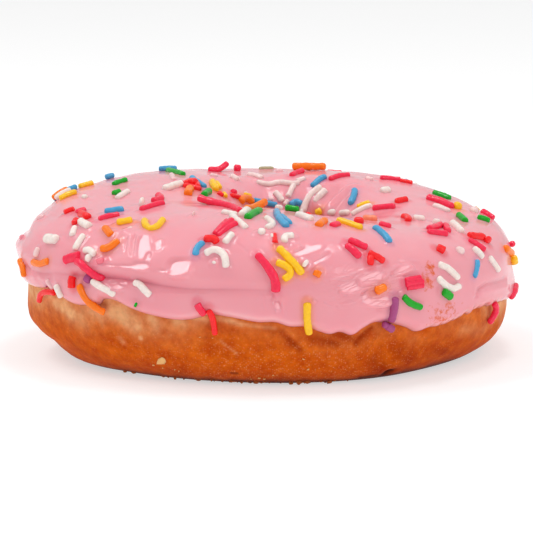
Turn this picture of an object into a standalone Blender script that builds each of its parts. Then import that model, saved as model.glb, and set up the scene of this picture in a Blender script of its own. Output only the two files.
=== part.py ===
"""A sprinkle frosted doughnut: a fried ring of dough under a skin of set icing.

Metres, +Z up. The ring lies on its flat fried base, with its hole upright. The origin is on the surface
that it rests on, under the middle of its outer box.

Two angles give a place on the ring. "Around" is its bearing seen from above, from 0 at +X towards +Y.
"Along" runs round the ring's section at that bearing: 0 is the outside, 90 degrees the crest,
180 degrees the wall of the hole and 270 degrees the base.
"""

import bpy
import numpy as np

MM = 0.001

# A size that changes round the ring is its mean, then its waves: (crests in one turn, height of the
# wave, bearing of a crest). Sizes here are in mm and bearings in degrees.
OUTER_RADIUS = (45.2, [(1, 1.7, -153), (2, 1.5, 1), (3, 1.6, -22), (4, 0.95, 14)])
HOLE_RADIUS = (10.1, [(1, 3.4, -12)])
CREST_HEIGHT = (29.05, [(1, 2.15, 139), (2, 0.55, 60), (3, 0.75, 38)])
WAIST_HEIGHT = (15.3, [(1, 2.2, -146), (2, 0.4, 34)])

# The section is two half ovals, over and under its waist, the level where the ring is widest.
CREST_PLACE = 0.395  # where the crest stands, as a share of the way from the hole to the outside
TOP_FULLNESS = 2.9  # 2 is an ellipse, and more is squarer at the shoulders
BASE_FULLNESS = (3.3, [(1, 0.2, -10)])
BASE_CUT = 0.06  # share of the waist's height that the fryer's flat base cuts off the lower oval

# The icing: a skin that stays clear of the dough by a hair, with a round lip at both its edges.
GAP = 0.3
ICING_THICKNESS = 1.4
LIP = 9.0  # degrees along the section over which the lip rounds off
OUTER_EDGE_HEIGHT = (12.9, [(1, 2.3, -165)])
INNER_EDGE_HEIGHT = (20.5, [(1, 1.2, 40), (3, 0.7, 100)])

# Where the icing ran down before it set: (bearing, half width in degrees, how far it ran in mm).
RUNS = [
    (-139, 5, 1.7),
    (-114, 9, 1.8),
    (-91, 5, 0.9),
    (-79, 7, 2.4),
    (-71, 3, 1.9),
    (-54, 6, 2.6),
    (-44, 5, 1.3),
    (-5, 7, 0.8),
    (20, 6, 1.9),
    (47, 9, 2.6),
    (73, 5, 1.4),
    (99, 7, 2.7),
    (126, 6, 1.5),
    (151, 8, 2.3),
    (176, 5, 1.2),
]

# The thick upper coat that slumped over the front of the skirt: it ends in a roll, with a dent under it.
ROLL_BEARING = -100.0
ROLL_REACH = 42.0  # degrees round the ring to either side
ROLL_ALONG = 34.0
DENT_ALONG = 18.0
ROLL_SPREAD = 9.0
ROLL_HEIGHT = 0.6
DENT_DEPTH = 0.5

AROUND_STEPS = 90
DOUGH_STEPS = 24
ICING_OUTER_STEPS = 16
ICING_INNER_STEPS = 13


def size_at(size, around):
    """A size at bearings in radians."""
    mean, waves = size
    return mean + sum(
        height * np.cos(count * (around - np.radians(crest))) for count, height, crest in waves
    )


def bell(angle, middle, half_width):
    """1 where the angle is at the middle, falling smoothly to nothing on both sides, in degrees."""
    away = (np.degrees(angle) - middle + 180) % 360 - 180
    return np.exp(-((away / half_width) ** 2))


def half_oval(around, upper):
    """Half height and fullness of the section's half that lies over or under the waist."""
    waist = size_at(WAIST_HEIGHT, around)
    over = size_at(CREST_HEIGHT, around) - waist
    under = waist * (1 + BASE_CUT)
    return np.where(upper, over, under), np.where(upper, TOP_FULLNESS, size_at(BASE_FULLNESS, around))


def ring_skin(around, along, out=0.0):
    """Points in mm on the dough's skin, or on one that lies that far outside it."""
    outer = size_at(OUTER_RADIUS, around)
    hole = size_at(HOLE_RADIUS, around)
    crest = hole + CREST_PLACE * (outer - hole)
    across, up = np.cos(along), np.sin(along)
    half_height, fullness = half_oval(around, up > 0)
    half_width = np.where(across > 0, outer - crest, crest - hole)
    reach = (np.abs(across) ** fullness + np.abs(up) ** fullness) ** (-1 / fullness)
    across, up = across * reach, up * reach
    facing_out = np.sign(across) * np.abs(across) ** (fullness - 1) / half_width
    facing_up = np.sign(up) * np.abs(up) ** (fullness - 1) / half_height
    steep = np.hypot(facing_out, facing_up)
    radius = crest + half_width * across + out * facing_out / steep
    height = size_at(WAIST_HEIGHT, around) + half_height * up + out * facing_up / steep
    x = radius * np.cos(around)
    y = radius * np.sin(around)
    return np.stack([x, y, np.maximum(height, 0.0)], axis=-1)


def along_at_height(around, height, side):
    """Where along the section the skin is that high: side is 1 on the outside and -1 in the hole."""
    rise = height - size_at(WAIST_HEIGHT, around)
    half_height, fullness = half_oval(around, rise > 0)
    up = rise / half_height
    across = (1 - np.abs(up) ** fullness) ** (1 / fullness)
    return np.arctan2(up, side * across)


def icing_edges(around):
    """Where along the section the icing starts on the outside and ends in the hole."""
    runs = sum(drop * bell(around, where, width) for where, width, drop in RUNS)
    outer = along_at_height(around, size_at(OUTER_EDGE_HEIGHT, around) - runs, 1)
    inner = along_at_height(around, size_at(INNER_EDGE_HEIGHT, around), -1)
    return outer, inner


def icing_out(around, along, outer_edge, inner_edge):
    """How far outside the dough the icing's outer skin lies, in mm."""
    near_front = bell(around, ROLL_BEARING, ROLL_REACH)
    roll = ROLL_HEIGHT * bell(along, ROLL_ALONG, ROLL_SPREAD)
    dent = DENT_DEPTH * bell(along, DENT_ALONG, ROLL_SPREAD)
    thickness = ICING_THICKNESS + near_front * (roll - dent)
    from_edge = np.minimum(along - outer_edge, inner_edge - along) / np.radians(LIP)
    from_edge = np.clip(from_edge, 0, 1)
    return GAP + thickness * np.sqrt(1 - (1 - from_edge) ** 2)


def finish_for(name, colour, roughness):
    """A plain food surface: colour is linear red, green and blue."""
    material = bpy.data.materials.new(name)
    material.use_nodes = True
    shader = material.node_tree.nodes["Principled BSDF"]
    shader.inputs["Base Color"].default_value = (*colour, 1)
    shader.inputs["Roughness"].default_value = roughness
    shader.inputs["Metallic"].default_value = 0.0
    material.diffuse_color = (*colour, 1)
    return material


def ring_of(name, points, material):
    """An object from a grid of points, closed both round the ring and round its section."""
    turns, steps = points.shape[:2]
    faces = []
    for i in range(turns):
        for j in range(steps):
            i_next, j_next = (i + 1) % turns, (j + 1) % steps
            faces.append((i * steps + j, i_next * steps + j, i_next * steps + j_next, i * steps + j_next))
    mesh = bpy.data.meshes.new(name)
    mesh.from_pydata((points * MM).reshape(-1, 3).tolist(), [], faces)
    mesh.materials.append(material)
    mesh.shade_smooth()
    obj = bpy.data.objects.new(name, mesh)
    bpy.context.scene.collection.objects.link(obj)
    return obj


def make_dough(around):
    along = np.linspace(0, 2 * np.pi, DOUGH_STEPS, endpoint=False)[None, :]
    crust = finish_for("fried_crust", (0.56, 0.16, 0.03), 0.55)
    return ring_of("dough", ring_skin(around, along), crust)


def make_icing(around):
    outer_edge, inner_edge = icing_edges(around)
    # Stations crowd towards both edges, where the lips are.
    share = 0.5 - 0.5 * np.cos(np.linspace(0, np.pi, ICING_OUTER_STEPS))[None, :]
    along = outer_edge + share * (inner_edge - outer_edge)
    outside = ring_skin(around, along, icing_out(around, along, outer_edge, inner_edge))
    back = np.linspace(1, 0, ICING_INNER_STEPS + 2)[None, 1:-1]
    inside = ring_skin(around, outer_edge + back * (inner_edge - outer_edge), GAP)
    sugar = finish_for("pink_icing", (0.86, 0.42, 0.47), 0.2)
    return ring_of("icing", np.concatenate([outside, inside], axis=1), sugar)


def stand_over_origin(pieces):
    """Brings the middle of the pieces' outer box over the origin."""
    corners = np.array([vertex.co for piece in pieces for vertex in piece.data.vertices])
    middle = (corners.min(axis=0) + corners.max(axis=0)) / 2
    for piece in pieces:
        for vertex in piece.data.vertices:
            vertex.co.x -= middle[0]
            vertex.co.y -= middle[1]


def main():
    for obj in list(bpy.data.objects):
        bpy.data.objects.remove(obj)
    around = np.linspace(0, 2 * np.pi, AROUND_STEPS, endpoint=False)[:, None]
    stand_over_origin([make_dough(around), make_icing(around)])


main()
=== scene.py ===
import functools
import itertools
import math

import bpy
import numpy as np
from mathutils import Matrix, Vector


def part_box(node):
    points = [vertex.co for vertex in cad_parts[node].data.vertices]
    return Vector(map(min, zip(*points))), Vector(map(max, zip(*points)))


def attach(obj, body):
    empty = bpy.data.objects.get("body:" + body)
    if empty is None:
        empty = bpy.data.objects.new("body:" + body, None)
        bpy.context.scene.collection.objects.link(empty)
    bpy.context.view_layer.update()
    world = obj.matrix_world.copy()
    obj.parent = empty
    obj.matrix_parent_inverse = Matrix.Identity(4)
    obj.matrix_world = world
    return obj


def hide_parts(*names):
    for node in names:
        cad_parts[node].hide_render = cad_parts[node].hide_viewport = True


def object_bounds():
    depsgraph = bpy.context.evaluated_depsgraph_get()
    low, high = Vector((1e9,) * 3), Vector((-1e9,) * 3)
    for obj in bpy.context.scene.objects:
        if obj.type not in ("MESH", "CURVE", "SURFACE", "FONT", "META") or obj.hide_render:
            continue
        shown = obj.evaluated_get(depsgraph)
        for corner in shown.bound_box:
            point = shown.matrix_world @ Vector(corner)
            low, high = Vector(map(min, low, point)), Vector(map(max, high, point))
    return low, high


# The looks of a sprinkle frosted doughnut: fried dough under a skin of set pink icing, with sugar
# strands pressed into it. Sizes are in mm and angles in degrees, until the points become a mesh.
#
# Two angles give a place on the ring. "Bearing" is seen from above, from 0 at +X towards +Y. "Along"
# runs round the ring's section at that bearing: 0 is the outside, 90 the crest, 180 the wall of the
# hole and 270 the base.

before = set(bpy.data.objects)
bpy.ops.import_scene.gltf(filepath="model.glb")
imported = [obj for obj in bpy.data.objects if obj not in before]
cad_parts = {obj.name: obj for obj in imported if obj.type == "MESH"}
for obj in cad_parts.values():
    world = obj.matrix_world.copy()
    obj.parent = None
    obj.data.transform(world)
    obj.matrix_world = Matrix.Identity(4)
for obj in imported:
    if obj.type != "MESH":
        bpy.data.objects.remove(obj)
cad_low, cad_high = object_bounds()
MM = 0.001

# ---- The ring, which the solids share -------------------------------------------------------------

# A size that changes round the ring is its mean, then its waves: (crests in one turn, height, bearing
# of a crest).
OUTER_RADIUS = (45.2, [(1, 1.7, -153), (2, 1.5, 1), (3, 1.6, -22), (4, 0.95, 14)])
HOLE_RADIUS = (10.1, [(1, 3.4, -12)])
CREST_HEIGHT = (29.05, [(1, 2.15, 139), (2, 0.55, 60), (3, 0.75, 38)])
WAIST_HEIGHT = (15.3, [(1, 2.2, -146), (2, 0.4, 34)])
CREST_PLACE = 0.395  # where the crest stands, as a share of the way from the hole to the outside
TOP_FULLNESS = 2.9  # 2 is an ellipse, and more is squarer at the shoulders
BASE_FULLNESS = (3.3, [(1, 0.2, -10)])
BASE_CUT = 0.06  # share of the waist's height that the fryer's flat base cuts off the lower oval
ROUND_MM, ALONG_MM = 0.82, 0.37  # mm for each degree round the ring and along its section, on the outside
INNER_EDGE_HEIGHT = (20.5, [(1, 1.2, 40), (3, 0.7, 100)])

# Swellings and hollows of the whole ring: (bearing, along, reach round, reach along, height).
SWELLINGS = [
    (-178, 56, 22, 14, -0.35),
    (-170, 42, 18, 9, -0.8),
    (-176, 15.5, 10, 5, 1.0),
    (-176, 27.5, 14, 5, -0.8),
    (-178, 52, 14, 9, 0.6),
    (-150, 62, 18, 14, -0.4),
    (-178, -8, 10, 8, -0.9),
    (-170, -28, 12, 8, 0.7),
    (-158, -43, 12, 5, -0.6),
    (-150, -50, 10, 9, 0.4),
    (117, 85, 20, 25, -0.5),
    (70, 85, 26, 25, -0.3),
    (25, 78, 22, 20, -0.4),
    (-5, 62, 26, 16, -0.6),
    (-3, 15, 20, 14, -0.75),
    (-22, -40, 18, 14, -0.5),
    (-40, -45, 14, 14, -0.4),
    (-50, -32, 14, 16, -0.3),
    (-62, -20, 5, 14, -0.6),
    (-120, -25, 16, 12, 0.3),
]

# Furrows in the dough's side: (bearing, along) of both ends, half width and depth in mm.
FURROWS = [
    ((-91, -15), (-88.6, -17), 1.0, 0.4),
    ((-88.6, -17), (-84, -27), 0.9, 0.8),
    ((-81.5, -19), (-75, -23), 1.6, 0.5),
    ((-70.6, -24), (-65.5, -13.5), 1.1, 0.9),
    ((-62.5, -14), (-61, -44), 2.6, 0.8),
    ((-59, -50), (-57, -46), 1.0, 1.0),
    ((-55, -22), (-53, -38), 2.0, 0.35),
]

# Marks on the crust where it is paler, darker or darkest: (bearing, along) of both ends, half width
# in mm and strength. One pale mark, low on the right, is a painted highlight; the darker marks are painted
# shade along the furrows, with a few deeper orange patches elsewhere; the darkest are mostly painted shadow
# in gaps near the base.
PALE_MARKS = [
    ((-166, -8), (-157, -12), 1.5, 0.6),
    ((-150, -10.5), (-141.5, -17), 1.1, 0.7),
    ((-142.5, -17), (-142, -18), 0.4, 0.6),
    ((-135.5, -13), (-132.5, -18), 1.2, 0.5),
    ((-130, -11.5), (-124, -18), 1.8, 0.6),
    ((-119.8, -12), (-118.5, -18), 1.0, 0.4),
    ((-114.5, -12), (-112, -15), 1.0, 0.4),
    ((-112, -9.5), (-106.5, -11.5), 0.7, 0.7),
    ((-104, -10), (-98, -12.5), 0.6, 0.7),
    ((-98, -12.5), (-90, -14.5), 0.4, 0.5),
    ((-103.2, -22.5), (-101.8, -25.5), 0.22, 0.5),
    ((-101.8, -25.5), (-99.3, -29.5), 0.22, 0.5),
    # Painted highlight: a lighter orange patch low on the right side of the crust.
    ((-37, -22), (-27, -25), 2.0, 0.3),
    ((-24, -8), (-2, -14), 4.5, 0.62),
    ((-128, -26.5), (-127.5, -28), 0.6, 0.5),
    ((-122.8, -24.5), (-122.6, -24.8), 0.4, 0.8),
]
# Mostly painted shade: darker marks along the furrows.
DEEP_MARKS_AND_FURROW_SHADE = [
    ((-144, -36), (-139, -42), 1.5, 0.4),
    ((-133.5, -7), (-131.5, -9), 0.8, 0.7),
    ((-88.6, -17), (-84, -26.5), 0.7, 0.8),
    ((-91.5, -15), (-88.5, -17), 1.0, 0.5),
    ((-81.5, -19), (-75, -23), 1.1, 0.8),
    ((-75, -17.5), (-70.5, -21), 1.2, 0.8),
    ((-70.3, -23), (-66, -14.5), 0.8, 0.9),
    ((-64.5, -36), (-61, -44), 1.5, 0.6),
    ((-57, -30), (-53, -38), 1.6, 0.5),
    ((-46, -34), (-41, -36), 1.4, 0.4),
]
# Mostly painted shadow: the darkest marks lie in gaps near the base.
BURNT_MARKS_AND_GAP_SHADOW = [
    ((-58.6, -49), (-57, -46), 0.6, 1.0),
    ((-66, -50), (-61.5, -49), 0.4, 0.8),
    ((-101.5, -43.2), (-99.8, -43.2), 0.24, 1.2),
]

# Flakes and crumbs on the dough's side: (bearing, along, length and width in mm, turn, how pale).
FLAKES = [
    (-118.9, -37.4, 2.4, 2.3, -52, 1.0),
    (-121.8, -41.3, 0.5, 0.35, 10, 0.85),
    (-119.6, -42.8, 0.45, 0.3, 30, 0.85),
    (-116.5, -43.5, 0.4, 0.25, 0, 0.85),
    (-115.6, -44.5, 0.4, 0.25, -30, 0.85),
    (-83.0, -32.0, 0.7, 0.35, -25, 0.8),
    (-81.6, -39.0, 0.6, 0.3, 50, 0.85),
    (-94.3, -47.5, 0.6, 0.4, 0, 0.8),
    (-92.9, -48.6, 0.5, 0.4, 40, 0.7),
    (-90.5, -44.0, 0.45, 0.35, 0, 0.7),
    (-96.5, -48.5, 0.45, 0.35, 0, 0.3),
    (-108.0, -21.5, 0.5, 0.2, 15, 0.85),
    (-105.0, -21.5, 0.5, 0.2, -10, 0.85),
]

# ---- The icing's shape ----------------------------------------------------------------------------

ICING_THICKNESS = 1.7
LIP = 6.5  # degrees along the section over which the lip rounds off
SUNK = 0.3  # how far the icing's inner skin lies inside the dough's

# The lower lip: how high it ends at each bearing where it turns.
LIP_HEIGHTS = [
    (-173, 15.2), (-156, 15.3), (-146, 16.0), (-143.5, 14.9), (-140, 14.1), (-135.5, 14.3), (-132.5, 14.9),
    (-131.6, 15.8), (-128.5, 15.8), (-124, 14.5), (-119, 13.6), (-113, 13.1), (-109, 13.5), (-105.5, 14.3),
    (-101, 14.0), (-94, 13.1), (-90, 13.1), (-86.5, 12.3), (-82.5, 12.2), (-79.5, 11.3), (-77, 10.7),
    (-74.3, 11.0), (-71.5, 10.3), (-68.8, 11.4), (-66, 12.3), (-63.5, 12.2), (-60, 11.6), (-57.5, 11.0),
    (-54, 9.8), (-50.5, 10.2), (-46, 10.3), (-40.5, 11.1), (-36, 11.8), (-28, 12.0), (-16, 11.3),
    (0, 9.8), (20, 8.7), (33, 10.5), (47, 8.3), (60, 11.0), (73, 10.3), (85, 12.1), (99, 10.0),
    (112, 13.2), (126, 12.2), (138, 14.2), (151, 12.2), (164, 14.9), (176, 13.9),
]

# The crease where the thick upper coat slumped over the skirt: (bearing, along, depth).
CREASE = [
    (-175, 8, 0.0), (-160, 7, 0.4), (-152, 5, 0.35), (-143, 9, 0.35), (-136, 10.5, 0.7),
    (-131, 11.7, 1.1), (-125, 12, 1.0), (-118, 10.5, 0.7), (-110, 9.5, 0.5), (-103, 11, 0.45),
    (-95, 12.5, 0.3), (-84, 13, 0.0), (0, 10, 0.0), (90, 8, 0.0),
]

# The roll at the lower end of that coat: (bearing, along of its ridge, height).
ROLL = [
    (-150, 16, 0.0), (-140, 17, 0.15), (-134, 19.3, 0.6), (-130, 19.8, 0.75), (-126, 20.5, 0.75),
    (-120, 21.3, 0.75), (-115, 19.8, 0.7), (-110, 19.5, 0.55), (-104, 19, 0.3), (-96, 19, 0.1),
    (-86, 19, 0.0), (0, 19, 0.0), (90, 19, 0.0),
]
ROLL_SLOPE = 22.0  # degrees along the section over which the coat above the roll runs level

# Flat places where the coat sagged or cracked before it set, each turned to where it catches a light or
# a dark place: (bearing, along, half width and half height in mm, turn of its width, soft share, light).
FACETS = [
    (-128.8, 35.2, 3.4, 2.6, 5, 1.2, "dark"),
    (-86.5, 40.2, 2.0, 1.0, 0, 0.8, "gap"),
    (41, 130, 9.0, 3.5, 0, 0.6, "gap"),
    (31, 128, 2.6, 4.6, 0, 0.8, "gap"),
    (-122.2, 35.2, 1.4, 3.1, 20, 0.2, "key"),
    (-119.7, 26.6, 0.55, 1.9, 12, 0.25, "key"),
    (-123.2, 21.2, 2.2, 0.5, 2, 0.4, "key"),
    (-120.9, 22.1, 1.6, 1.0, 2, 0.4, "key"),
    (-124.9, 35.4, 0.38, 2.4, 20, 0.5, "key"),
    (-126.6, 34.6, 0.14, 1.5, 20, 0.6, "key"),
    (-118.9, 37.4, 0.85, 1.5, 16, 0.25, "key"),
    (-129.4, 20.4, 2.2, 0.4, 2, 0.5, "key"),
    (-111.9, 23.0, 2.2, 2.1, 4, 0.45, "key"),
    (-115.4, 20.4, 0.9, 0.4, -4, 0.8, "key"),
    (-126.9, 5.8, 1.2, 1.1, 20, 0.8, "key"),
    (-125.3, 8.7, 0.8, 0.35, -5, 0.9, "key"),
    (-112.6, 5.2, 0.35, 0.14, 0, 0.8, "key"),
    (-110.0, 6.0, 0.2, 0.14, 10, 0.8, "key"),
    (-107.8, 6.2, 0.3, 0.14, -8, 0.8, "key"),
    (-81.8, 39.7, 3.5, 0.85, 24, 0.3, "overhead"),
    (-80.0, 32.3, 3.2, 0.42, 38, 0.4, "overhead"),
    (-71.8, 17.2, 3.2, 1.7, 14, 0.2, "right"),
    (-67.2, 22.8, 2.9, 1.25, 20, 0.2, "right"),
    (-66.2, 8.2, 3.1, 2.7, -4, 0.2, "right"),
    (-58.7, 27.4, 2.8, 1.1, 20, 0.2, "right"),
    (-56.6, 25.6, 1.7, 0.3, 22, 0.4, "right"),
    (-89.5, 0.8, 0.62, 1.3, 8, 0.3, "right"),
    (-90.5, 6.5, 0.2, 1.1, 3, 0.7, "key"),
    (-91.0, 8.8, 0.5, 0.35, 0, 0.7, "right"),
    (-57.7, 34.0, 0.8, 0.5, 6, 0.4, "right"),
    (-81.2, 5.4, 0.4, 0.5, -40, 0.9, "right"),
    (-79.2, -1.8, 0.42, 0.16, -25, 0.8, "right"),
    (-75.7, 1.2, 0.16, 0.5, 15, 0.8, "right"),
    (-73.7, 0.8, 0.45, 0.16, -15, 0.8, "right"),
    (-72.1, 8.8, 0.42, 0.18, -20, 0.8, "right"),
    (-65.2, -2.0, 0.7, 0.16, -35, 0.8, "right"),
    (-75.3, 13.5, 0.16, 0.35, 10, 0.8, "right"),
]

# Thin wrinkles in the skin that formed first: (bearing, along) of both ends, half width and height in mm.
WRINKLES = [
    ((-77.0, 21.6), (-72.5, 25.0), 0.28, 0.24),
    ((-72.5, 25.0), (-69.0, 28.0), 0.28, 0.24),
    ((-69.0, 28.0), (-65.8, 30.6), 0.26, 0.20),
    ((-65.8, 30.6), (-62.8, 31.2), 0.26, 0.16),
    ((-75.3, 17.0), (-73.0, 20.0), 0.18, 0.17),
    ((-73.0, 20.0), (-69.5, 26.0), 0.18, 0.15),
    ((-64.2, 22.0), (-61.8, 27.3), 0.28, 0.26),
    ((-61.8, 27.3), (-59.7, 30.5), 0.26, 0.22),
    ((-62.2, 23.5), (-58.5, 26.0), 0.18, 0.20),
    ((-59.3, 25.0), (-55.5, 28.5), 0.26, 0.24),
    ((-62.6, 21.6), (-57.5, 23.6), 0.16, 0.14),
    ((-60.5, 30.5), (-54.5, 34.0), 0.18, 0.12),
    ((-55.5, 34.0), (-53.0, 33.0), 0.25, 0.14),
    ((-70.0, 11.5), (-68.0, 15.5), 0.20, -0.22),
    ((-68.0, 15.5), (-66.7, 16.2), 0.20, -0.20),
    ((-74.5, 3.5), (-71.5, 6.0), 0.22, 0.12),
    ((-78.8, 4.2), (-76.9, 1.0), 0.18, 0.12),
    ((-117.0, 4.0), (-105.0, 6.3), 0.25, 0.07),
    ((-93.0, 8.0), (-92.5, -2.0), 0.4, 0.13),
    ((-88.5, 8.0), (-87.8, -4.0), 0.35, 0.13),
    ((-100.5, 44.0), (-96.0, 36.0), 0.16, -0.07),
    ((-96.0, 36.0), (-93.8, 30.0), 0.16, -0.07),
    ((-114.0, 66.0), (-103.0, 52.0), 0.18, -0.06),
    ((-35.6, 3.0), (-34.8, 9.0), 0.6, -0.28),
    ((-34.8, 9.0), (-31.0, 12.0), 0.6, -0.30),
    ((-31.0, 12.0), (-20.0, 11.0), 0.7, -0.25),
    ((-33.0, 5.5), (-20.0, 4.0), 1.4, 0.35),
    ((-150.0, 2.0), (-147.5, -4.0), 0.7, 0.15),
    ((-155.5, 9.0), (-152.5, -2.0), 0.5, 0.12),
]

# The skin that creased as it set, on the right front: (bearing, along, reach round, reach along), and the
# slant of its folds in degrees.
CREASED_PATCH = (-66, 17, 11, 13)
FOLD_SLANT = 28

# Where crust dust and dye are pressed into the icing: (bearing, along, reach round, reach along, strength).
SPECKLED = [
    (-52.4, 19, 3.0, 8.5, 0.75),
    (-50.5, 29.5, 2.6, 5.0, 0.6),
    (-46.8, -1.5, 6.5, 7.0, 0.62),
    (-48, -11.5, 7.0, 4.0, 0.6),
]

# ---- The sugar strands ----------------------------------------------------------------------------

STRAND_WIDTH = 1.22
COLOURS = ["white", "red", "rose", "orange", "yellow", "green", "blue", "purple"]


def strand(colour, width, *route, veil=0.0, lift=0.0, rise=0.0, cut=False, taper=1.0):
    """One strand: its width as a share of the usual, and the (bearing, along) places it runs through."""
    return {
        "colour": colour,
        "radius": STRAND_WIDTH * width / 2,
        "route": route,
        "veil": veil,  # how much of a film of icing covers it
        "lift": lift,  # mm by which it lies on something else
        "rise": rise,  # mm by which its far end curls up
        "cut": cut,  # whether its ends are cut square
        "taper": taper,  # width at its far end over that at its near end
    }


white, red, rose, orange, yellow, green, blue, purple = (functools.partial(strand, each) for each in COLOURS)


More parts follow.
